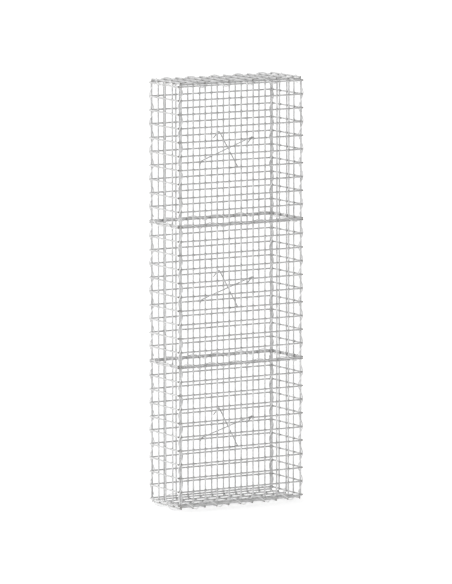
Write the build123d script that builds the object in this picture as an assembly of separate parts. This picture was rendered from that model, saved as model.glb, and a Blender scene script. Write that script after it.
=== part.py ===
from build123d import *
import math
import os

# A free-standing gabion wall basket in welded wire mesh, with a closed lid and no stones in it.
# X runs along the front, Y from the front to the rear, Z up. The origin is on the floor, at the
# middle of the basket. Every panel is a square mesh of straight wires welded where they cross,
# neighbouring panels are bound edge to edge by wire spirals, and two ties a tier hold the front
# and the rear together.

# Mesh panels, in millimetres and cells
mesh = 50.0
long_cells = 10
short_cells = 4
tier_cells = 10
tiers = ("lower", "middle", "upper")
wire = 6.0
wire_sides = 8
weld_sink = 0.5
edge_overhang = 3.0

# Spirals that bind the panels: a turn is spiral_cells long and drawn in spiral_steps straight
# steps, and each end stops free_steps short of the panel's last weld
spiral_wire = 3.0
spiral_sides = 6
spiral_cells = 2
spiral_steps = 8
free_steps = 1
spiral_inset = 1.6

# Cross ties, two to a tier: each place is in cells from the tier's middle, and each leg is the
# sideways and upward run of the hooked end, in millimetres
tie_wire = 4.0
tie_bend = 4.0
tie_rows = 1
rising_tie = dict(rear=-0.70, rear_leg=(-10.0, -19.0), front=0.84, front_leg=(-26.0, -26.0))
falling_tie = dict(rear=0.76, rear_leg=(-24.0, -25.0), front=-0.44, front_leg=(-33.0, -5.0))

# Clearances between wires that only lie against each other
bound_gap = 0.5
spiral_gap = 0.2
tie_gap = 0.5

# Places worked out from the sizes above. A panel has whole cells only.
long_cells, short_cells, tier_cells = round(long_cells), round(short_cells), round(tier_cells)
layer_step = wire - weld_sink
bound_step = wire + bound_gap
corner_step = bound_step / math.sqrt(2)
half_long = long_cells * mesh / 2
half_short = short_cells * mesh / 2
tier_height = tier_cells * mesh
tier_pitch = tier_height + bound_step
front_uprights = half_short + corner_step
side_uprights = half_long + corner_step
front_rows = front_uprights + layer_step
side_rows = side_uprights + layer_step

X, Y, Z = Vector(1, 0, 0), Vector(0, 1, 0), Vector(0, 0, 1)


def round_section(across, sides):
    """Section of a wire, drawn with a few flats: across is its size over two opposite flats."""
    return RegularPolygon(across / 2, sides, major_radius=False, rotation=180 / sides)


def corner_radius(across, sides):
    """Distance from a section's middle to its corners."""
    return across / 2 / math.cos(math.pi / sides)


def bar(start, end):
    """Straight mesh wire, drawn with a few flats, between two points on its centre line."""
    section = Plane(origin=start, z_dir=end - start) * round_section(wire, wire_sides)
    return extrude(section, (end - start).length)


def mesh_wires(corner, outer_run, inner_run, outward, outer_cells, inner_cells, outer_end, inner_end):
    """Wires of a welded mesh, as two lists: those along outer_run lie outward of the others.

    corner is where the first inner wire meets the first row of outer wires, in the inner layer.
    outer_end and inner_end are how far each kind of wire runs past the last weld.
    """
    outer_length = outer_cells * mesh
    inner_length = inner_cells * mesh
    outer_wires = []
    for row in range(inner_cells + 1):
        start = corner + outward * layer_step + inner_run * (row * mesh)
        end = start + outer_run * (outer_length + outer_end)
        outer_wires.append(bar(start - outer_run * outer_end, end))
    inner_wires = []
    for column in range(outer_cells + 1):
        start = corner + outer_run * (column * mesh)
        end = start + inner_run * (inner_length + inner_end)
        inner_wires.append(bar(start - inner_run * inner_end, end))
    return outer_wires, inner_wires


def wall_panel(face, tier):
    """One tier of one wall: rows outside, uprights inside, uprights cut flush with the end rows."""
    run, outward, plane, cells = face
    half = cells * mesh / 2
    corner = outward * plane - run * half + Z * (first_row + tier * tier_pitch)
    rows, uprights = mesh_wires(corner, run, Z, outward, cells, tier_cells, edge_overhang, wire / 2)
    return rows[0].fuse(*rows[1:], *uprights)


def flat_wires(height, outward):
    """Wires of the base or the lid: the front-to-rear wires lie outside the long ones."""
    corner = Vector(-half_long, -half_short, height)
    return mesh_wires(corner, Y, X, outward, short_cells, long_cells, edge_overhang, edge_overhang)


def spiral(first_wire, second_wire, along, inward, cells, inset=0.0):
    """Right-handed wire spiral that binds two parallel wires over a number of cells.

    first_wire and second_wire are the points beside the first crossing wire. There, and at every
    spiral_cells cells on, the spiral lies on its inward side, and half way between on its outward
    side, so that it never meets a crossing wire. inset moves its axis inward.
    """
    axis = (first_wire + second_wire) / 2 + inward * inset
    reach = max((first_wire - axis).length, (second_wire - axis).length)
    clear_radius = reach + corner_radius(wire, wire_sides) + spiral_gap
    clear_radius += corner_radius(spiral_wire, spiral_sides)
    radius = clear_radius / math.cos(math.pi / spiral_steps)
    sideways = along.cross(inward)
    step = spiral_cells * mesh / spiral_steps
    last = round(cells * mesh / step) - free_steps
    corners = []
    for index in range(free_steps, last + 1):
        turn = 2 * math.pi * index / spiral_steps
        around = inward * math.cos(turn) + sideways * math.sin(turn)
        corners.append(axis + along * (index * step) + around * radius)
    path = Polyline(*corners)
    section = Plane(origin=path @ 0, z_dir=path % 0) * round_section(spiral_wire, spiral_sides)
    return sweep(section, path=path, transition=Transition.RIGHT)


def cross_tie(tie, rear_row, middle):
    """Straight tie from the rear wall to the front wall, over one row of each, with hooked ends."""
    reach = wire / 2 + tie_gap + tie_wire / 2
    slope = tie_rows * mesh / front_rows
    over_row = reach * math.hypot(1, slope)
    front_row = -rear_row
    bend_y = front_rows + reach
    rear_z = middle + rear_row * mesh + over_row + math.copysign(slope * reach, rear_row)
    front_z = middle + front_row * mesh + over_row + math.copysign(slope * reach, front_row)
    rear = Vector(tie["rear"] * mesh, bend_y, rear_z)
    front = Vector(tie["front"] * mesh, -bend_y, front_z)
    rear_tip = rear + X * tie["rear_leg"][0] + Z * tie["rear_leg"][1]
    front_tip = front + X * tie["front_leg"][0] + Z * tie["front_leg"][1]
    path = FilletPolyline(rear_tip, rear, front, front_tip, radius=tie_bend)
    section = Plane(origin=path @ 0, z_dir=path % 0) * round_section(tie_wire, spiral_sides)
    return sweep(section, path=path)


def save(shape, name):
    """Write one node's STEP file."""
    export_step(shape, "parts/" + name + ".step")


os.makedirs("parts", exist_ok=True)

# The spirals under the short sides are the lowest points of the basket, so one of them, made with
# the outer base wires at height 0, gives the height at which those wires really lie. The heights
# of the walls' rows and of the lid follow.
edge_wire = Vector(half_long, -half_short, 0)
wall_wire = Vector(side_rows, -half_short, layer_step + bound_step)
lowest = spiral(edge_wire, wall_wire, Y, (Z - X).normalized(), short_cells)
base_outer = -lowest.bounding_box().min.Z
base_inner = base_outer + layer_step
first_row = base_inner + bound_step
last_row = first_row + (len(tiers) - 1) * tier_pitch + tier_height
lid_inner = last_row + bound_step
lid_outer = lid_inner + layer_step

# Each wall: the way it runs, the way it faces, the plane of its uprights and its cells
faces = dict(
    front=(X, -Y, front_uprights, long_cells),
    rear=(X, Y, front_uprights, long_cells),
    left=(Y, -X, side_uprights, short_cells),
    right=(Y, X, side_uprights, short_cells),
)

for side, face in faces.items():
    for tier, tier_name in enumerate(tiers):
        save(wall_panel(face, tier), side + "_panel_" + tier_name)

base_outer_wires, base_inner_wires = flat_wires(base_inner, -Z)
save(base_outer_wires[0].fuse(*base_outer_wires[1:], *base_inner_wires), "base_panel")

# The lid's wires are solids of their own, so that each of its cells is open to what goes in. Its
# upper wires are notched where the lower ones are welded into them.
lid_outer_wires, lid_inner_wires = flat_wires(lid_inner, Z)
save(Compound(children=[upper - lid_inner_wires for upper in lid_outer_wires]), "lid_cross_wires")
save(Compound(children=lid_inner_wires), "lid_long_wires")

# Upright spirals bind the end uprights of a side wall and of the front or rear wall
for end, end_way in (("front", -1), ("rear", 1)):
    for side, side_way in (("left", -1), ("right", 1)):
        for tier, tier_name in enumerate(tiers):
            foot = first_row + tier * tier_pitch
            long_upright = Vector(side_way * half_long, end_way * front_uprights, foot)
            short_upright = Vector(side_way * side_uprights, end_way * half_short, foot)
            inward = Vector(-side_way, -end_way, 0).normalized()
            coil = spiral(long_upright, short_upright, Z, inward, tier_cells)
            save(coil, "corner_spiral_" + end + "_" + side + "_" + tier_name)

# Level spirals bind the rows of two tiers, and the end rows to the edges of the base and the lid
for side, (run, outward, plane, cells) in faces.items():
    length = cells * mesh
    half_across = half_short if run == X else half_long
    base_edge = base_inner if run == X else base_outer
    lid_edge = lid_inner if run == X else lid_outer
    start = outward * (plane + layer_step) - run * (length / 2)
    edge = outward * half_across - run * (length / 2)
    seam_coils = []
    for joint in range(1, len(tiers)):
        upper_row = start + Z * (first_row + joint * tier_pitch)
        lower_row = upper_row - Z * bound_step
        seam_coils.append(spiral(lower_row, upper_row, run, -outward, cells, spiral_inset))
    save(Compound(children=seam_coils), "joint_spirals_" + side)
    up_in = (Z - outward).normalized()
    down_in = (-Z - outward).normalized()
    save(spiral(start + Z * first_row, edge + Z * base_edge, run, up_in, cells), "base_spiral_" + side)
    save(spiral(start + Z * last_row, edge + Z * lid_edge, run, down_in, cells), "lid_spiral_" + side)

# The rising tie goes from a low row at the rear to a high one at the front, the falling one back
for tier, tier_name in enumerate(tiers):
    middle = first_row + tier * tier_pitch + tier_height / 2
    pair = [cross_tie(rising_tie, -tie_rows, middle), cross_tie(falling_tie, tie_rows, middle)]
    save(Compound(children=pair), "cross_ties_" + tier_name)
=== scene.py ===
"""A tall, narrow gabion wall basket: three tiers of welded mesh under a closed lid, with no stones.

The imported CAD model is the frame: X runs along the front, Y from the front to the rear and Z up, in
metres. Every piece here is the round galvanised wire of one or two CAD nodes, at the same place,
with its weld marks, cut ends and zinc.
"""

import logging
import math
from dataclasses import dataclass
from enum import Enum
from typing import Any

import bpy
import numpy as np
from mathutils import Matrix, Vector


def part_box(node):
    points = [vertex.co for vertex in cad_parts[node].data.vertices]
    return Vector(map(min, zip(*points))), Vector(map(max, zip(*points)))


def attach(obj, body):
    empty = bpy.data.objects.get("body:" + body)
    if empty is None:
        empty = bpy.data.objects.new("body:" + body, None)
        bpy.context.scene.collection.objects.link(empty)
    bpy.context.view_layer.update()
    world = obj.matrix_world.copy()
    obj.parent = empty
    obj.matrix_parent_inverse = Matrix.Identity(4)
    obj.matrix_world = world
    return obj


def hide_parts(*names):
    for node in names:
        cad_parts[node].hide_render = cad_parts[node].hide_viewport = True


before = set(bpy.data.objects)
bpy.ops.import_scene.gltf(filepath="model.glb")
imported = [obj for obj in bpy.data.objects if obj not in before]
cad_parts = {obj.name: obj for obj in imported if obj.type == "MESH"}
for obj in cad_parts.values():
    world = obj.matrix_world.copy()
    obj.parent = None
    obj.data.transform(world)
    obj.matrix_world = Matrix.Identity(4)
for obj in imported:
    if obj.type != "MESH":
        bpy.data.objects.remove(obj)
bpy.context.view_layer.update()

log = logging.getLogger("gabion_basket")

MM = 0.001
BODY = "root"
ALONG = np.array([1.0, 0.0, 0.0])
DEEP = np.array([0.0, 1.0, 0.0])
UP = np.array([0.0, 0.0, 1.0])

# Socket numbers of a Mix node that mixes colours
MIX_FACTOR, MIX_FIRST, MIX_SECOND, MIX_COLOUR = 0, 6, 7, 2


class Side(Enum):
    """The four walls: name, the way each one runs, and the way it faces."""

    FRONT = ("front", tuple(ALONG), tuple(-DEEP))
    REAR = ("rear", tuple(ALONG), tuple(DEEP))
    LEFT = ("left", tuple(DEEP), tuple(-ALONG))
    RIGHT = ("right", tuple(DEEP), tuple(ALONG))

    @property
    def label(self) -> str:
        """Name of the wall in the names of its pieces."""
        return self.value[0]

    @property
    def run(self) -> np.ndarray:
        """Unit vector along the wall."""
        return np.array(self.value[1])

    @property
    def outward(self) -> np.ndarray:
        """Unit vector out of the basket."""
        return np.array(self.value[2])

    @property
    def is_long(self) -> bool:
        """True for the front and the rear."""
        return self in (Side.FRONT, Side.REAR)


class Tier(Enum):
    """The three tiers, counted from the floor."""

    LOWER = 0
    MIDDLE = 1
    UPPER = 2

    @property
    def label(self) -> str:
        """Name of the tier in the names of its pieces."""
        return self.name.lower()


class Face(Enum):
    """Material slots of a wire: its zinc skin and the bare steel at its cut ends."""

    ZINC = 0
    CUT = 1


@dataclass(frozen=True)
class BasketSizes:
    """Sizes that panels, spirals and ties share, in metres and cells, as in the CAD source.

    wire_sides and spiral_sides are the flats that the CAD draws those wires with.
    """

    cell: float = 50 * MM
    long_cells: int = 10
    short_cells: int = 4
    tier_cells: int = 10
    wire: float = 6 * MM
    wire_sides: int = 8
    weld_sink: float = 0.5 * MM
    edge_overhang: float = 3 * MM
    bound_gap: float = 0.5 * MM
    spiral_wire: float = 3 * MM
    spiral_sides: int = 6
    spiral_cells: int = 2
    spiral_steps: int = 8
    spiral_gap: float = 0.2 * MM
    spiral_inset: float = 1.6 * MM
    tie_wire: float = 4 * MM
    tie_bend: float = 4 * MM
    tie_gap: float = 0.5 * MM

    @property
    def layer_step(self) -> float:
        """Distance between the middles of the two wire layers of a panel."""
        return self.wire - self.weld_sink

    @property
    def bound_step(self) -> float:
        """Distance between the middles of two wires that a spiral binds."""
        return self.wire + self.bound_gap

    @property
    def half_long(self) -> float:
        """Half the length of the mesh from its first to its last upright."""
        return self.long_cells * self.cell / 2

    @property
    def half_short(self) -> float:
        """Half the depth of the mesh from its first to its last upright."""
        return self.short_cells * self.cell / 2

    @property
    def tier_height(self) -> float:
        """Height from the first to the last row of a tier."""
        return self.tier_cells * self.cell

    @property
    def tier_pitch(self) -> float:
        """Height from a tier's first row to the next tier's first row."""
        return self.tier_height + self.bound_step

    def uprights_plane(self, side: Side) -> float:
        """Distance of a wall's uprights from the middle of the basket.

        Args:
            side: the wall.

        Returns:
            The distance in metres.
        """
        corner_step = self.bound_step / math.sqrt(2)
        return (self.half_short if side.is_long else self.half_long) + corner_step

    def rows_plane(self, side: Side) -> float:
        """Distance of a wall's level rows from the middle of the basket.

        Args:
            side: the wall.

        Returns:
            The distance in metres.
        """
        return self.uprights_plane(side) + self.layer_step

    def cells(self, side: Side) -> int:
        """Number of cells along a wall.

        Args:
            side: the wall.

        Returns:
            The number of cells.
        """
        return self.long_cells if side.is_long else self.short_cells


SIZES = BasketSizes()
FIRST_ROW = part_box("front_panel_lower")[0].z + SIZES.wire / 2
BASE_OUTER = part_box("base_panel")[0].z + SIZES.wire / 2
LID_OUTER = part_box("lid_cross_wires")[1].z - SIZES.wire / 2


def tier_foot(tier: Tier) -> float:
    """Height of a tier's first row.

    Args:
        tier: the tier.

    Returns:
        The height in metres.
    """
    return FIRST_ROW + tier.value * SIZES.tier_pitch


def unit(vector: np.ndarray) -> np.ndarray:
    """Vectors divided by their lengths: v / |v|.

    Args:
        vector: (..., 3) vectors.

    Returns:
        Unit vectors of the same shape.
    """
    return vector / np.linalg.norm(vector, axis=-1, keepdims=True)


@dataclass
class Skin:
    """A surface as whole arrays, before it becomes a mesh.

    points is (n, 3). quads and fans are (m, 4) and (k, 3) point numbers, and their uv maps are
    (m, 8) and (k, 6). fan_slots is (k,), the material slots of the fans, while all quads are zinc.
    weld is (n,): 1 at a weld, 0 away from it.
    """

    points: np.ndarray
    quads: np.ndarray
    quad_uv: np.ndarray
    fans: np.ndarray
    fan_uv: np.ndarray
    fan_slots: np.ndarray
    weld: np.ndarray

    @staticmethod
    def joined(skins: list["Skin"]) -> "Skin":
        """One skin of several, with the point numbers moved on.

        Args:
            skins: the skins to join.

        Returns:
            The joined skin.
        """
        firsts = np.cumsum([0] + [len(skin.points) for skin in skins[:-1]])
        return Skin(
            points=np.concatenate([skin.points for skin in skins]),
            quads=np.concatenate([skin.quads + first for skin, first in zip(skins, firsts)]),
            quad_uv=np.concatenate([skin.quad_uv for skin in skins]),
            fans=np.concatenate([skin.fans + first for skin, first in zip(skins, firsts)]),
            fan_uv=np.concatenate([skin.fan_uv for skin in skins]),
            fan_slots=np.concatenate([skin.fan_slots for skin in skins]),
            weld=np.concatenate([skin.weld for skin in skins]),
        )

    def mesh(self, name: str) -> bpy.types.Mesh:
        """Write the arrays into a Blender mesh, smooth all over.

        Args:
            name: name of the mesh.

        Returns:
            The mesh, with its uv map and its weld attribute.
        """
        mesh = bpy.data.meshes.new(name)
        corners = np.concatenate([self.quads.ravel(), self.fans.ravel()])
        quad_starts = np.arange(len(self.quads)) * 4
        fan_starts = self.quads.size + np.arange(len(self.fans)) * 3
        starts = np.concatenate([quad_starts, fan_starts])
        slots = np.concatenate([np.full(len(self.quads), Face.ZINC.value), self.fan_slots])
        uvs = np.concatenate([self.quad_uv.ravel(), self.fan_uv.ravel()])
        mesh.vertices.add(len(self.points))
        mesh.vertices.foreach_set("co", self.points.astype(np.float32).ravel())
        mesh.loops.add(len(corners))
        mesh.loops.foreach_set("vertex_index", corners.astype(np.int32))
        mesh.polygons.add(len(self.quads) + len(self.fans))
        mesh.polygons.foreach_set("loop_start", starts.astype(np.int32))
        mesh.polygons.foreach_set("use_smooth", np.ones(len(mesh.polygons), bool))
        mesh.polygons.foreach_set("material_index", slots.astype(np.int32))
        uv = mesh.uv_layers.new(name="wire_uv")
        uv.data.foreach_set("uv", uvs.astype(np.float32))
        weld = mesh.attributes.new("weld", "FLOAT", "POINT")
        weld.data.foreach_set("value", self.weld.astype(np.float32))
        mesh.update(calc_edges=True)
        mesh.validate()
        return mesh


def ring_faces(number: np.ndarray) -> tuple[np.ndarray, np.ndarray]:
    """Faces of closed shapes made of rings: quads between the rings and a fan over each end.

    The middles of the first fans are the points after the last ring, one for each shape, and those
    of the last fans come after them.

    Args:
        number: (shapes, rings, sides) point numbers.

    Returns:
        (m, 4) quads, and (k, 3) fans with all the first ends before all the last ones.
    """
    around = np.roll(number, -1, axis=2)
    quads = np.stack([number[:, :-1], around[:, :-1], around[:, 1:], number[:, 1:]], axis=-1)
    first_middles = number.size + np.arange(len(number))[:, None]
    last_middles = first_middles + len(number)
    first_fans = np.stack(np.broadcast_arrays(first_middles, around[:, 0], number[:, 0]), axis=-1)
    last_fans = np.stack(np.broadcast_arrays(last_middles, number[:, -1], around[:, -1]), axis=-1)
    return quads.reshape(-1, 4), np.concatenate([first_fans.reshape(-1, 3), last_fans.reshape(-1, 3)])


def tubes(
    centres: np.ndarray,
    first_way: np.ndarray,
    second_way: np.ndarray,
    radii: np.ndarray,
    weld: np.ndarray,
) -> Skin:
    """Round wires carried along their centre lines, all with the same number of rings.

    P(i, s, a) = C(i, s) + r(i, s, a) (cos a N(i, s) + sin a B(i, s)), for wire i, ring s and angle a.
    Each end is cut, and closed with a fan round the middle of its last ring.

    Args:
        centres: (wires, rings, 3) centre lines.
        first_way: (wires, rings, 3) unit vectors N, across the wire.
        second_way: (wires, rings, 3) unit vectors B, with N x B along the wire.
        radii: (wires, rings, sides) distances from the centre line.
        weld: (wires, rings) how near a weld is.

    Returns:
        The skin of all the wires.
    """
    wires, rings, sides = radii.shape
    angle = np.arange(sides) * 2 * np.pi / sides
    first_part = np.cos(angle)[:, None] * first_way[:, :, None, :]
    second_part = np.sin(angle)[:, None] * second_way[:, :, None, :]
    tube = centres[:, :, None, :] + radii[..., None] * (first_part + second_part)
    quads, fans = ring_faces(np.arange(wires * rings * sides).reshape(wires, rings, sides))

    steps = np.linalg.norm(np.diff(centres, axis=1), axis=2)
    length = np.concatenate([np.zeros((wires, 1)), np.cumsum(steps, axis=1)], axis=1)
    girth = 2 * np.pi * radii.mean()
    side_starts = np.arange(sides) * girth / sides
    side_ends = side_starts + girth / sides
    shape = (wires, rings - 1, sides)
    near, far = (np.broadcast_to(part[:, :, None], shape) for part in (length[:, :-1], length[:, 1:]))
    low, high = (np.broadcast_to(part, shape) for part in (side_starts, side_ends))
    quad_uv = np.stack([near, low, near, high, far, high, far, low], axis=-1)

    cap_radius = girth / 6
    cosines, sines = np.cos(angle) * cap_radius, np.sin(angle) * cap_radius
    rim = np.stack([cosines, sines, np.roll(cosines, -1), np.roll(sines, -1)], axis=-1)
    fan_uv = np.concatenate([np.zeros((sides, 2)), rim], axis=-1)
    return Skin(
        points=np.concatenate([tube.reshape(-1, 3), centres[:, 0], centres[:, -1]]),
        quads=quads,
        quad_uv=quad_uv.reshape(-1, 8),
        fans=fans,
        fan_uv=np.tile(fan_uv, (2 * wires, 1)),
        fan_slots=np.full(len(fans), Face.CUT.value),
        weld=np.concatenate([np.repeat(weld, sides, axis=1).ravel(), weld[:, 0], weld[:, -1]]),
    )


def sheared_radii(radius: float, rings: int, sides: int, chamfer: float) -> np.ndarray:
    """Radii of a plain round wire, with the last ring at each end drawn in by the shears.

    Args:
        radius: the wire's radius.
        rings: number of rings.
        sides: number of sides.
        chamfer: share of the radius that an end loses.

    Returns:
        A (1, rings, sides) array.
    """
    radii = np.full((1, rings, sides), radius)
    radii[:, [0, -1]] *= 1 - chamfer
    return radii


def add_object(name: str, data: bpy.types.ID) -> bpy.types.Object:
    """Add an object to the scene.

    Args:
        name: name of the object.
        data: its mesh, light or camera.

    Returns:
        The object.
    """
    added = bpy.data.objects.new(name, data)
    bpy.context.scene.collection.objects.link(added)
    return added


def dress(mesh: bpy.types.Mesh, nodes: list[str], finishes: list[bpy.types.Material]) -> None:
    """Make a mesh a piece of the basket: its materials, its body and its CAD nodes.

    Args:
        mesh: the mesh, in place, with the piece's name.
        nodes: CAD nodes that it stands for.
        finishes: materials in the order of Face.
    """
    for finish in finishes:
        mesh.materials.append(finish)
    piece = add_object(mesh.name, mesh)
    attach(piece, BODY)
    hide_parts(*nodes)
    log.info("%s: %d faces", piece.name, len(mesh.polygons))


@dataclass(frozen=True)
class WeldedPanel:
    """A mesh of straight wires in two layers, resistance welded where they cross.

    corner is the first crossing, in the inner layer. The outer wires run along outer_run and lie
    outward of the inner ones, and outer_end and inner_end are how far each kind runs past its last
    weld. At a weld a wire loses the share press of its radius towards the other layer and gains the
    share spread sideways, over about weld_reach, with rings at the places ring_reaches in
    weld_reach. chamfer is the share of the radius that a cut end loses over chamfer_length.
    """

    name: str
    nodes: tuple[str, ...]
    corner: np.ndarray
    outer_run: np.ndarray
    inner_run: np.ndarray
    outward: np.ndarray
    outer_cells: int
    inner_cells: int
    outer_end: float
    inner_end: float
    sides: int = 12
    press: float = 0.14
    spread: float = 0.05
    weld_reach: float = 3.6 * MM
    ring_reaches: tuple[float, ...] = (-2.0, -1.0, -0.35, 0.35, 1.0, 2.0)
    chamfer: float = 0.2
    chamfer_length: float = 0.6 * MM
    nugget_across: float = 8.0 * MM
    nugget_thick: float = 3.0 * MM
    nugget_sides: int = 10
    nugget_rings: int = 5

    def stations(self, cells: int, end: float) -> np.ndarray:
        """Places of the rings along a wire, close together at the welds and at the cut ends.

        Args:
            cells: number of cells along the wire.
            end: how far the wire runs past its first and last weld.

        Returns:
            Distances from the first weld, in metres.
        """
        near_weld = np.array(self.ring_reaches) * self.weld_reach
        welds = np.arange(cells + 1)[:, None] * SIZES.cell + near_weld
        low, high = -end, cells * SIZES.cell + end
        margin = 2 * self.chamfer_length
        inside = welds[(welds > low + margin) & (welds < high - margin)]
        start = [low, low + self.chamfer_length]
        stop = [high - self.chamfer_length, high]
        return np.concatenate([start, inside, stop])

    def layer(
        self, starts: np.ndarray, run: np.ndarray, toward: np.ndarray, cells: int, end: float
    ) -> Skin:
        """All the wires of one layer, flattened a little where the welding press sank them.

        With g = exp(-(d / w)^2) at a distance d from the nearest weld, the radius at an angle a from
        the other layer is r (1 - p g max(cos a, 0)^2 + q g sin^2 a).

        Args:
            starts: (wires, 3) first weld of each wire, on its centre line.
            run: unit vector along the wires.
            toward: unit vector towards the other layer.
            cells: number of cells along each wire.
            end: how far each wire runs past its first and last weld.

        Returns:
            The skin of the layer.
        """
        places = self.stations(cells, end)
        count = len(starts)
        off_weld = places - np.clip(np.round(places / SIZES.cell), 0, cells) * SIZES.cell
        nearness = np.exp(-((off_weld / self.weld_reach) ** 2))
        angle = np.arange(self.sides) * 2 * np.pi / self.sides
        pressed = self.press * np.clip(np.cos(angle), 0, None) ** 2
        spread = self.spread * np.sin(angle) ** 2
        radii = SIZES.wire / 2 * (1 + nearness[:, None] * (spread - pressed))
        radii[[0, -1]] *= 1 - self.chamfer
        shape = (count, len(places), 3)
        second = np.cross(run, toward)
        return tubes(
            centres=starts[:, None, :] + places[:, None] * run,
            first_way=np.broadcast_to(toward, shape),
            second_way=np.broadcast_to(second, shape),
            radii=np.broadcast_to(radii, (count, *radii.shape)),
            weld=np.broadcast_to(nearness, (count, len(places))),
        )

    def nuggets(self, crossings: np.ndarray) -> Skin:
        """Flash squeezed out round each weld: a flat ellipsoid between the two wires.

        P(u, v) = C + a cos u (cos v E + sin v F) + b sin u N, with u from pole to pole.

        Args:
            crossings: (welds, 3) points midway between the layers.

        Returns:
            The skin of all the nuggets, closed at the poles.
        """
        count = len(crossings)
        height = np.linspace(-np.pi / 2, np.pi / 2, self.nugget_rings + 2)[1:-1]
        turn = np.arange(self.nugget_sides) * 2 * np.pi / self.nugget_sides
        wide = self.nugget_across / 2 * np.cos(height)[:, None, None]
        ring = np.cos(turn)[:, None] * self.outer_run + np.sin(turn)[:, None] * self.inner_run
        handed = np.sign(np.dot(np.cross(self.outer_run, self.inner_run), self.outward))
        pole = self.nugget_thick / 2 * self.outward * handed
        body = crossings[:, None, None, :] + wide * ring + np.sin(height)[:, None, None] * pole
        number = np.arange(body[..., 0].size).reshape(count, self.nugget_rings, self.nugget_sides)
        quads, fans = ring_faces(number)
        points = np.concatenate([body.reshape(-1, 3), crossings - pole, crossings + pole])
        return Skin(
            points=points,
            quads=quads,
            quad_uv=np.zeros((len(quads), 8)),
            fans=fans,
            fan_uv=np.zeros((len(fans), 6)),
            fan_slots=np.full(len(fans), Face.ZINC.value),
            weld=np.ones(len(points)),
        )

    def build(self, finishes: list[bpy.types.Material]) -> None:
        """Make the wires and their welds as one piece.

        Args:
            finishes: materials in the order of Face.
        """
        outer_places = np.arange(self.inner_cells + 1)[:, None] * SIZES.cell
        inner_places = np.arange(self.outer_cells + 1)[:, None] * SIZES.cell
        outer_starts = self.corner + self.outward * SIZES.layer_step + outer_places * self.inner_run
        inner_starts = self.corner + inner_places * self.outer_run
        middle = self.corner + self.outward * SIZES.layer_step / 2
        crossings = middle + outer_places[:, None] * self.inner_run + inner_places * self.outer_run
        outer = self.layer(outer_starts, self.outer_run, -self.outward, self.outer_cells, self.outer_end)
        inner = self.layer(inner_starts, self.inner_run, self.outward, self.inner_cells, self.inner_end)
        nuggets = self.nuggets(crossings.reshape(-1, 3))
        mesh = Skin.joined([outer, inner, nuggets]).mesh(self.name)
        dress(mesh, list(self.nodes), finishes)


@dataclass(frozen=True)
class BindingSpiral:
    """A right-handed wire spiral that binds two parallel wires of neighbouring panels.

    first_wire and second_wire are the points beside the first crossing wire. inset moves the axis
    inward, away from both. A snug spiral lies close round the wires, and any other keeps the circle
    round the corners of the CAD spiral's straight steps.
    """

    first_wire: np.ndarray
    second_wire: np.ndarray
    along: np.ndarray
    inward: np.ndarray
    cells: int
    inset: float = 0.0
    snug: bool = False
    sides: int = 12
    turn_rings: int = 40
    chamfer: float = 0.2
    chamfer_length: float = 0.4 * MM

    @property
    def foot(self) -> np.ndarray:
        """Point of the axis beside the first crossing wire."""
        return (self.first_wire + self.second_wire) / 2 + self.inward * self.inset

    @property
    def radius(self) -> float:
        """Radius of the helix."""
        foot = self.foot
        reach = max(np.linalg.norm(self.first_wire - foot), np.linalg.norm(self.second_wire - foot))
        if self.snug:
            return reach + SIZES.wire / 2 + SIZES.spiral_gap + SIZES.spiral_wire / 2
        bound = SIZES.wire / 2 / math.cos(math.pi / SIZES.wire_sides)
        own = SIZES.spiral_wire / 2 / math.cos(math.pi / SIZES.spiral_sides)
        return (reach + bound + SIZES.spiral_gap + own) / math.cos(math.pi / SIZES.spiral_steps)

    def skin(self) -> Skin:
        """The round wire of the spiral.

        C(t) = A + t L + R (cos(2 pi t / p) I + sin(2 pi t / p) L x I), for the foot A, the unit
        vectors L along it and I inward, the radius R and the pitch p.

        Returns:
            The skin of the spiral, with cut ends.
        """
        pitch = SIZES.spiral_cells * SIZES.cell
        step = pitch / SIZES.spiral_steps
        start, stop = step, self.cells * SIZES.cell - step
        rings = round((stop - start) / pitch * self.turn_rings) + 1
        places = np.linspace(start, stop, rings)
        climb = 2 * math.pi * self.radius / pitch
        nip = self.chamfer_length / math.hypot(1, climb)
        places = np.concatenate([[start], [start + nip], places[1:-1], [stop - nip], [stop]])
        turn = (2 * np.pi * places / pitch)[:, None]
        sideways = np.cross(self.along, self.inward)
        radial = np.cos(turn) * self.inward + np.sin(turn) * sideways
        tangent = unit(self.along + climb * (np.cos(turn) * sideways - np.sin(turn) * self.inward))
        centres = self.foot + places[:, None] * self.along + self.radius * radial
        return tubes(
            centres=centres[None],
            first_way=radial[None],
            second_way=np.cross(tangent, radial)[None],
            radii=sheared_radii(SIZES.spiral_wire / 2, len(places), self.sides, self.chamfer),
            weld=np.zeros((1, len(places))),
        )


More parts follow.
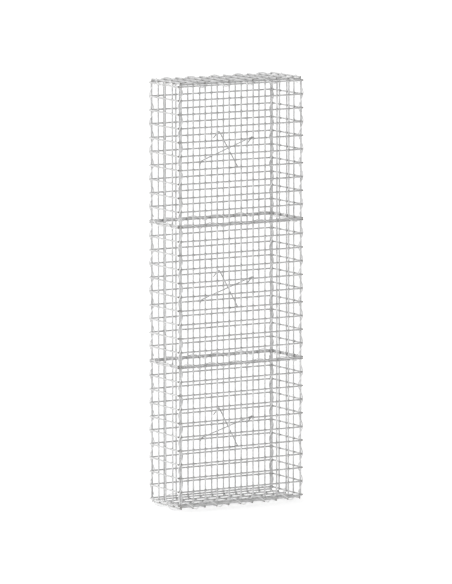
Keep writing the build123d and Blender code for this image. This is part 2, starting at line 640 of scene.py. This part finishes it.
@dataclass(frozen=True)
class CrossTie:
    """A straight tie over one row of the rear wall and one of the front wall, hooked at both ends.

    rear and front are its places along the walls, and each leg is the sideways and upward run of
    the hooked end. rear_row and front_row count cells from the tier's middle.
    """

    rear: float
    rear_leg: tuple[float, float]
    front: float
    front_leg: tuple[float, float]
    rear_row: int
    sides: int = 12
    bend_rings: int = 9
    chamfer: float = 0.25
    chamfer_length: float = 0.4 * MM

    def corners(self, middle: float) -> np.ndarray:
        """Corners of the tie's line before its bends are rounded.

        Args:
            middle: height of the tier's middle.

        Returns:
            A (4, 3) array from the rear tip to the front tip.
        """
        reach = SIZES.wire / 2 + SIZES.tie_gap + SIZES.tie_wire / 2
        rows = SIZES.rows_plane(Side.FRONT)
        slope = SIZES.cell / rows
        over_row = reach * math.hypot(1, slope)
        rise = math.copysign(slope * reach, self.rear_row)
        rear_z = middle + self.rear_row * SIZES.cell + over_row + rise
        front_z = middle - self.rear_row * SIZES.cell + over_row - rise
        rear = np.array([self.rear * SIZES.cell, rows + reach, rear_z])
        front = np.array([self.front * SIZES.cell, -rows - reach, front_z])
        rear_tip = rear + np.array([self.rear_leg[0], 0, self.rear_leg[1]])
        front_tip = front + np.array([self.front_leg[0], 0, self.front_leg[1]])
        return np.stack([rear_tip, rear, front, front_tip])

    def bend(self, corner: np.ndarray, before: np.ndarray, after: np.ndarray) -> np.ndarray:
        """Round bend at a corner.

        With A and B the unit vectors from the corner to its neighbours and h half the angle between
        them, the bend's middle lies r / sin h along A + B, and C(t) = M + r (cos t U + sin t V).

        Args:
            corner: the sharp corner.
            before: the point that the wire comes from.
            after: the point that it goes to.

        Returns:
            (bend_rings, 3) points on the bend.
        """
        back, ahead = unit(before - corner), unit(after - corner)
        half = math.acos(float(np.dot(back, ahead))) / 2
        middle = corner + unit(back + ahead) * SIZES.tie_bend / math.sin(half)
        start = unit(corner + back * SIZES.tie_bend / math.tan(half) - middle)
        across = unit(-back - np.dot(-back, start) * start)
        turn = np.linspace(0, math.pi - 2 * half, self.bend_rings)[:, None]
        return middle + SIZES.tie_bend * (np.cos(turn) * start + np.sin(turn) * across)

    def skin(self, middle: float) -> Skin:
        """The round wire of the tie.

        Args:
            middle: height of the tier's middle.

        Returns:
            The skin of the tie, with cut ends.
        """
        rear_tip, rear, front, front_tip = self.corners(middle)
        rear_nip = rear_tip + unit(rear - rear_tip) * self.chamfer_length
        front_nip = front_tip + unit(front - front_tip) * self.chamfer_length
        rear_bend, front_bend = self.bend(rear, rear_tip, front), self.bend(front, rear, front_tip)
        centres = np.concatenate([[rear_tip, rear_nip], rear_bend, front_bend, [front_nip, front_tip]])
        tangent = unit(np.gradient(centres, axis=0))
        legs = unit(rear_tip - rear) + unit(front_tip - front)
        level = unit(np.array([-legs[2], 0, legs[0]]))
        normal = unit(level - (tangent @ level)[:, None] * tangent)
        return tubes(
            centres=centres[None],
            first_way=normal[None],
            second_way=np.cross(tangent, normal)[None],
            radii=sheared_radii(SIZES.tie_wire / 2, len(centres), self.sides, self.chamfer),
            weld=np.zeros((1, len(centres))),
        )


def linear(hex_code: str) -> tuple[float, float, float, float]:
    """Linear colour of an sRGB hex value.

    Args:
        hex_code: six hex digits.

    Returns:
        Red, green, blue and 1.
    """
    parts = (int(hex_code[i:i + 2], 16) / 255 for i in (0, 2, 4))
    return (*(c / 12.92 if c <= 0.04045 else ((c + 0.055) / 1.055) ** 2.4 for c in parts), 1.0)


def add_node(
    tree: bpy.types.NodeTree, kind: str, links: dict[str | int, Any] | None = None, **settings: Any
) -> bpy.types.Node:
    """Add a node, set it and link it.

    Args:
        tree: the node tree.
        kind: the node's type.
        links: input name or number, to an output socket or a value.
        **settings: properties of the node.

    Returns:
        The node.
    """
    node = tree.nodes.new(kind)
    for name, value in settings.items():
        setattr(node, name, value)
    for name, value in (links or {}).items():
        if isinstance(value, bpy.types.NodeSocket):
            tree.links.new(value, node.inputs[name])
        else:
            node.inputs[name].default_value = value
    return node


def new_material(name: str) -> tuple[bpy.types.Material, bpy.types.NodeTree, bpy.types.Node]:
    """An empty node material.

    Args:
        name: name of the material.

    Returns:
        The material, its node tree and its output node.
    """
    material = bpy.data.materials.new(name)
    material.use_nodes = True
    tree = material.node_tree
    tree.nodes.clear()
    return material, tree, add_node(tree, "ShaderNodeOutputMaterial")


@dataclass(frozen=True)
class GalvanisedWire:
    """Zinc on drawn steel wire.

    Hot-dip zinc freezes in small crystals of different greys, dulls in soft clouds, and turns
    darker and rougher where a weld burnt it. Drawn wire also shows fine lines along its length.
    crystal, cloud, grit and line are sizes in millimetres, as are the heights and line_length.
    cloud_range is the part of the noise that goes from bright to dull, and burn_share is how much
    of its own colour a weld loses.
    """

    name: str
    bright: str
    dull: str
    burnt: str
    metallic: float
    smooth: float
    rough: float
    crystal: float
    crystal_contrast: float
    cloud: float
    grit: float
    grit_height: float
    line: float
    line_length: float
    line_height: float
    cloud_range: tuple[float, float] = (0.36, 0.64)
    cloud_detail: float = 3.0
    cloud_roughness: float = 0.55
    line_detail: float = 2.0
    grit_detail: float = 4.0
    burn_share: float = 0.75

    def material(self) -> bpy.types.Material:
        """Build the material.

        Returns:
            The material.
        """
        material, tree, output = new_material(self.name)
        place = add_node(tree, "ShaderNodeTexCoord")
        weld = add_node(tree, "ShaderNodeAttribute", attribute_name="weld")
        clouds = add_node(tree, "ShaderNodeTexNoise", {
            "Vector": place.outputs["Object"], "Scale": 1 / (self.cloud * MM),
            "Detail": self.cloud_detail, "Roughness": self.cloud_roughness})
        dulled = add_node(tree, "ShaderNodeMapRange", {
            "Value": clouds.outputs["Fac"], "From Min": self.cloud_range[0],
            "From Max": self.cloud_range[1]})
        crystals = add_node(tree, "ShaderNodeTexVoronoi", {
            "Vector": place.outputs["Object"], "Scale": 1 / (self.crystal * MM)})
        tone = add_node(tree, "ShaderNodeSeparateColor", {"Color": crystals.outputs["Color"]})
        shade = add_node(tree, "ShaderNodeMapRange", {
            "Value": tone.outputs["Red"], "To Min": 1 - self.crystal_contrast,
            "To Max": 1 + self.crystal_contrast})
        zinc = add_node(tree, "ShaderNodeMix", {
            MIX_FACTOR: dulled.outputs["Result"], MIX_FIRST: linear(self.bright),
            MIX_SECOND: linear(self.dull)}, data_type="RGBA")
        toned = add_node(tree, "ShaderNodeVectorMath", {
            0: zinc.outputs[MIX_COLOUR], 1: shade.outputs["Result"]}, operation="MULTIPLY")
        burn = add_node(tree, "ShaderNodeMath", {0: weld.outputs["Fac"], 1: self.burn_share},
                        operation="MULTIPLY")
        skin = add_node(tree, "ShaderNodeMix", {
            MIX_FACTOR: burn.outputs[0], MIX_FIRST: toned.outputs["Vector"],
            MIX_SECOND: linear(self.burnt)}, data_type="RGBA")

        mixed = add_node(tree, "ShaderNodeMath", {0: dulled.outputs["Result"], 1: burn.outputs[0]},
                         operation="MAXIMUM")
        roughness = add_node(tree, "ShaderNodeMapRange", {
            "Value": mixed.outputs[0], "To Min": self.smooth, "To Max": self.rough})

        stretch = add_node(tree, "ShaderNodeMapping", {
            "Vector": place.outputs["UV"],
            "Scale": (1 / (self.line_length * MM), 1 / (self.line * MM), 1.0)})
        lines = add_node(tree, "ShaderNodeTexNoise", {
            "Vector": stretch.outputs["Vector"], "Scale": 1.0, "Detail": self.line_detail})
        line_bump = add_node(tree, "ShaderNodeBump", {
            "Height": lines.outputs["Fac"], "Distance": self.line_height * MM, "Strength": 1.0})
        grit = add_node(tree, "ShaderNodeTexNoise", {
            "Vector": place.outputs["Object"], "Scale": 1 / (self.grit * MM),
            "Detail": self.grit_detail})
        bump = add_node(tree, "ShaderNodeBump", {
            "Height": grit.outputs["Fac"], "Distance": self.grit_height * MM, "Strength": 1.0,
            "Normal": line_bump.outputs["Normal"]})
        shader = add_node(tree, "ShaderNodeBsdfPrincipled", {
            "Base Color": skin.outputs[MIX_COLOUR], "Metallic": self.metallic,
            "Roughness": roughness.outputs["Result"], "Normal": bump.outputs["Normal"]})
        tree.links.new(shader.outputs[0], output.inputs["Surface"])
        return material


@dataclass(frozen=True)
class ShearedSteel:
    """Bare mild steel where the shears went through a galvanised wire, with a first bloom of rust.

    It gives each wire end a darker, browner dot. bloom is the size of the rust patches in
    millimetres, rust_range the part of the noise over which they grow, and most_rust their share of
    the colour where they are thickest.
    """

    name: str = "sheared_mild_steel"
    steel: str = "8A8782"
    rust: str = "7A6450"
    bloom: float = 1.5
    bloom_detail: float = 3.0
    rust_range: tuple[float, float] = (0.45, 0.65)
    most_rust: float = 0.7
    metallic: float = 0.85
    roughness: float = 0.62

    def material(self) -> bpy.types.Material:
        """Build the material.

        Returns:
            The material.
        """
        material, tree, output = new_material(self.name)
        place = add_node(tree, "ShaderNodeTexCoord")
        patches = add_node(tree, "ShaderNodeTexNoise", {
            "Vector": place.outputs["Object"], "Scale": 1 / (self.bloom * MM),
            "Detail": self.bloom_detail})
        amount = add_node(tree, "ShaderNodeMapRange", {
            "Value": patches.outputs["Fac"], "From Min": self.rust_range[0],
            "From Max": self.rust_range[1], "To Max": self.most_rust})
        colour = add_node(tree, "ShaderNodeMix", {
            MIX_FACTOR: amount.outputs["Result"], MIX_FIRST: linear(self.steel),
            MIX_SECOND: linear(self.rust)}, data_type="RGBA")
        shader = add_node(tree, "ShaderNodeBsdfPrincipled", {
            "Base Color": colour.outputs[MIX_COLOUR], "Metallic": self.metallic,
            "Roughness": self.roughness})
        tree.links.new(shader.outputs[0], output.inputs["Surface"])
        return material


# Hot-dip zinc of the welded mesh: a pale, even grey, with faint crystals close up and welds a shade
# darker
HOT_DIP_ZINC = GalvanisedWire(
    name="hot_dip_galvanised_steel_wire",
    bright="E0E0E0", dull="D3D3D3", burnt="BEBEBD", metallic=0.92, smooth=0.42, rough=0.58,
    crystal=5.0, crystal_contrast=0.07, cloud=40.0, grit=1.6, grit_height=0.05,
    line=1.5, line_length=60.0, line_height=0.01)
# Zinc drawn with the wire of the spirals: a zinc grey lightened to near white as a painted highlight, and
# a little less metallic, which keeps the thin turns light beside the mesh
DRAWN_ZINC_PAINTED_HIGHLIGHT = GalvanisedWire(
    name="galvanised_drawn_steel_wire",
    # bright and dull near white are a painted highlight, lighter than the zinc's own grey
    bright="FCFCFC", dull="F6F6F6", burnt="BABAB9", metallic=0.65, smooth=0.46, rough=0.58,
    crystal=3.0, crystal_contrast=0.04, cloud=30.0, grit=1.2, grit_height=0.02,
    line=0.5, line_length=25.0, line_height=0.02)
# Zinc of the ties: a darker grey, so that the crossed ties stand out inside the pale mesh
TIE_ZINC = GalvanisedWire(
    name="galvanised_tie_wire",
    bright="BCBCBC", dull="A8A8A8", burnt="A0A09F", metallic=0.92, smooth=0.36, rough=0.56,
    crystal=3.0, crystal_contrast=0.06, cloud=25.0, grit=1.2, grit_height=0.03,
    line=0.5, line_length=25.0, line_height=0.02)


@dataclass(frozen=True)
class Basket:
    """The whole basket: its panels, the spirals that bind them and the ties across it."""

    rising_tie: CrossTie = CrossTie(
        rear=-0.70, rear_leg=(-10 * MM, -19 * MM), front=0.84, front_leg=(-26 * MM, -26 * MM), rear_row=-1)
    falling_tie: CrossTie = CrossTie(
        rear=0.76, rear_leg=(-24 * MM, -25 * MM), front=-0.44, front_leg=(-33 * MM, -5 * MM), rear_row=1)

    def walls(self) -> list[WeldedPanel]:
        """The four walls, tier by tier: level rows outside, uprights inside, cut at the end rows.

        Returns:
            The panels.
        """
        panels = []
        for side in Side:
            for tier in Tier:
                node = f"{side.label}_panel_{tier.label}"
                half = SIZES.cells(side) * SIZES.cell / 2
                middle = side.outward * SIZES.uprights_plane(side) + UP * tier_foot(tier)
                panels.append(WeldedPanel(
                    name=node + "_mesh", nodes=(node,), corner=middle - side.run * half,
                    outer_run=side.run, inner_run=UP, outward=side.outward,
                    outer_cells=SIZES.cells(side), inner_cells=SIZES.tier_cells,
                    outer_end=SIZES.edge_overhang, inner_end=SIZES.wire / 2))
        return panels

    def flat_panel(
        self, name: str, nodes: tuple[str, ...], outer_height: float, outward: np.ndarray
    ) -> WeldedPanel:
        """The base or the lid: the front-to-rear wires lie outside the long ones.

        Args:
            name: name of the piece.
            nodes: CAD nodes that it stands for.
            outer_height: height of the outer wires.
            outward: up for the lid, down for the base.

        Returns:
            The panel.
        """
        outer_corner = np.array([-SIZES.half_long, -SIZES.half_short, outer_height])
        return WeldedPanel(
            name=name, nodes=nodes, corner=outer_corner - outward * SIZES.layer_step,
            outer_run=DEEP, inner_run=ALONG, outward=outward,
            outer_cells=SIZES.short_cells, inner_cells=SIZES.long_cells,
            outer_end=SIZES.edge_overhang, inner_end=SIZES.edge_overhang)

    def corner_spirals(self) -> dict[str, list[BindingSpiral]]:
        """Upright spirals on the four corners of each tier.

        Returns:
            The spirals of each CAD node.
        """
        spirals = {}
        long_plane, short_plane = SIZES.uprights_plane(Side.FRONT), SIZES.uprights_plane(Side.LEFT)
        for end, end_way in (("front", -1), ("rear", 1)):
            for side, side_way in (("left", -1), ("right", 1)):
                inward = unit(np.array([-side_way, -end_way, 0.0]))
                for tier in Tier:
                    foot = tier_foot(tier)
                    spirals[f"corner_spiral_{end}_{side}_{tier.label}"] = [BindingSpiral(
                        first_wire=np.array([side_way * SIZES.half_long, end_way * long_plane, foot]),
                        second_wire=np.array([side_way * short_plane, end_way * SIZES.half_short, foot]),
                        along=UP, inward=inward, cells=SIZES.tier_cells, snug=True)]
        return spirals

    def level_spirals(self) -> dict[str, list[BindingSpiral]]:
        """Level spirals between the tiers, and along the edges of the base and the lid.

        Returns:
            The spirals of each CAD node.
        """
        spirals = {}
        last_row = tier_foot(Tier.UPPER) + SIZES.tier_height
        for side in Side:
            name, cells = side.label, SIZES.cells(side)
            half_run = side.run * cells * SIZES.cell / 2
            half_across = SIZES.half_short if side.is_long else SIZES.half_long
            inner_step = SIZES.layer_step if side.is_long else 0
            base_edge, lid_edge = BASE_OUTER + inner_step, LID_OUTER - inner_step
            start = side.outward * SIZES.rows_plane(side) - half_run
            edge = side.outward * half_across - half_run
            seams = [tier_foot(tier) for tier in (Tier.MIDDLE, Tier.UPPER)]
            spirals[f"joint_spirals_{name}"] = [
                BindingSpiral(start + UP * (seam - SIZES.bound_step), start + UP * seam, side.run,
                              -side.outward, cells, SIZES.spiral_inset)
                for seam in seams]
            spirals[f"base_spiral_{name}"] = [BindingSpiral(
                start + UP * FIRST_ROW, edge + UP * base_edge, side.run, unit(UP - side.outward), cells)]
            spirals[f"lid_spiral_{name}"] = [BindingSpiral(
                start + UP * last_row, edge + UP * lid_edge, side.run, unit(-UP - side.outward), cells,
                snug=True)]
        return spirals

    def build(self) -> None:
        """Make every piece of the basket."""
        cut = ShearedSteel().material()
        mesh_wire, spiral_wire, tie_wire = (
            [finish.material(), cut] for finish in (HOT_DIP_ZINC, DRAWN_ZINC_PAINTED_HIGHLIGHT, TIE_ZINC))
        base = self.flat_panel("base_panel_mesh", ("base_panel",), BASE_OUTER, -UP)
        lid = self.flat_panel("lid_panel_mesh", ("lid_cross_wires", "lid_long_wires"), LID_OUTER, UP)
        for panel in (base, *self.walls(), lid):
            panel.build(mesh_wire)
        for node, spirals in {**self.corner_spirals(), **self.level_spirals()}.items():
            mesh = Skin.joined([spiral.skin() for spiral in spirals]).mesh(node + "_wire")
            dress(mesh, [node], spiral_wire)
        for tier in Tier:
            middle = tier_foot(tier) + SIZES.tier_height / 2
            node = f"cross_ties_{tier.label}"
            ties = [tie.skin(middle) for tie in (self.rising_tie, self.falling_tie)]
            dress(Skin.joined(ties).mesh(node + "_wire"), [node], tie_wire)


def direction(azimuth: float, elevation: float) -> Vector:
    """Unit vector from the basket towards a lamp or a camera: (sin a cos e, -cos a cos e, sin e).

    Args:
        azimuth: degrees from the front towards +X.
        elevation: degrees above the floor.

    Returns:
        The vector.
    """
    around, height = math.radians(azimuth), math.radians(elevation)
    level = math.cos(height)
    return Vector((math.sin(around) * level, -math.cos(around) * level, math.sin(height)))


@dataclass(frozen=True)
class SoftSun:
    """A very soft distant light at one side of the basket.

    azimuth and elevation say where it stands, as in direction. spread is the width of its disc in
    degrees, and strength is in watts a square metre.
    """

    name: str
    azimuth: float
    strength: float
    elevation: float = 18.0
    spread: float = 60.0

    def build(self) -> None:
        """Make the lamp."""
        light = bpy.data.lights.new(self.name, "SUN")
        light.energy = self.strength
        light.angle = math.radians(self.spread)
        lamp = add_object(self.name, light)
        shine = -direction(self.azimuth, self.elevation)
        lamp.rotation_euler = shine.to_track_quat("-Z", "Y").to_euler()


@dataclass(frozen=True)
class Studio:
    """Plain white floor and surroundings, soft light from both sides and the photograph's camera.

    The surroundings are as bright as bright_end opposite dim_way and as dim_end along it. The camera
    stands at distance from eye, as azimuth and elevation say, and looks at aim. lens and sensor
    are in millimetres, and the other lengths in metres.
    """

    floor_half: float = 45.0
    floor_white: str = "E6E6E6"
    floor_roughness: float = 0.9
    floor_lift: float = 0.47
    bright_end: float = 1.15
    dim_end: float = 0.30
    dim_way: tuple[float, float, float] = (0.5, -0.86, 0.1)
    azimuth: float = -30.78
    elevation: float = 7.267
    distance: float = 22.667
    aim: tuple[float, float, float] = (-0.0009, 0.0006, 0.7699)
    eye: tuple[float, float, float] = (0.0, 0.0, 0.778)
    lens: float = 386.5
    sensor: float = 36.0
    clip: tuple[float, float] = (0.5, 300.0)
    suns: tuple[SoftSun, ...] = (
        SoftSun("left_soft_light", azimuth=-100.0, strength=0.8),
        SoftSun("right_soft_light", azimuth=100.0, strength=0.6),
    )

    def floor(self) -> None:
        """A matt white floor. It glows to the camera and in reflections, so its shadows stay faint."""
        half = self.floor_half
        points = [(-half, -half, 0), (half, -half, 0), (half, half, 0), (-half, half, 0)]
        mesh = bpy.data.meshes.new("studio_floor")
        mesh.from_pydata(points, [], [(0, 1, 2, 3)])
        floor = add_object("studio_floor", mesh)
        material, tree, output = new_material("matt_white_studio_paint")
        path = add_node(tree, "ShaderNodeLightPath")
        seen = add_node(tree, "ShaderNodeMath", {
            0: path.outputs["Is Camera Ray"], 1: path.outputs["Is Glossy Ray"]}, operation="MAXIMUM")
        seen = add_node(tree, "ShaderNodeMath", {
            0: seen.outputs[0], 1: path.outputs["Is Transmission Ray"]}, operation="MAXIMUM")
        lift = add_node(tree, "ShaderNodeMath", {0: seen.outputs[0], 1: self.floor_lift},
                        operation="MULTIPLY")
        shader = add_node(tree, "ShaderNodeBsdfPrincipled", {
            "Base Color": linear(self.floor_white), "Roughness": self.floor_roughness,
            "Specular IOR Level": 0.0, "Emission Color": (1, 1, 1, 1),
            "Emission Strength": lift.outputs[0]})
        tree.links.new(shader.outputs[0], output.inputs["Surface"])
        mesh.materials.append(material)

    def world(self) -> None:
        """White to the camera. As light it falls off evenly from the rear left to the front right."""
        world = bpy.data.worlds.new("studio_world")
        world.use_nodes = True
        bpy.context.scene.world = world
        tree = world.node_tree
        tree.nodes.clear()
        path = add_node(tree, "ShaderNodeLightPath")
        way = add_node(tree, "ShaderNodeTexCoord")
        toward = add_node(tree, "ShaderNodeVectorMath", {0: way.outputs["Generated"], 1: self.dim_way},
                          operation="DOT_PRODUCT")
        strength = add_node(tree, "ShaderNodeMapRange", {
            "Value": toward.outputs["Value"], "From Min": -1.0, "From Max": 1.0,
            "To Min": self.bright_end, "To Max": self.dim_end})
        shown = add_node(tree, "ShaderNodeMath", {
            0: strength.outputs["Result"], 1: path.outputs["Is Camera Ray"]}, operation="MAXIMUM")
        background = add_node(tree, "ShaderNodeBackground", {
            "Color": (1, 1, 1, 1), "Strength": shown.outputs[0]})
        output = add_node(tree, "ShaderNodeOutputWorld")
        tree.links.new(background.outputs[0], output.inputs["Surface"])

    def camera(self) -> None:
        """The photograph's camera: far away, with a long lens, looking down a little."""
        data = bpy.data.cameras.new("camera")
        data.lens = self.lens
        data.sensor_width = self.sensor
        data.clip_start, data.clip_end = self.clip
        camera = add_object("camera", data)
        camera.location = Vector(self.eye) + direction(self.azimuth, self.elevation) * self.distance
        look = Vector(self.aim) - camera.location
        camera.rotation_euler = look.to_track_quat("-Z", "Y").to_euler()
        bpy.context.scene.camera = camera

    def build(self) -> None:
        """Set up the floor, the light and the camera."""
        self.floor()
        self.world()
        for sun in self.suns:
            sun.build()
        self.camera()
        bpy.context.scene.view_settings.view_transform = "Standard"


def main() -> None:
    """Build the basket and its studio."""
    logging.basicConfig(level=logging.INFO, format="%(message)s")
    Basket().build()
    Studio().build()
    bpy.context.view_layer.update()


if __name__ == "__main__":
    main()
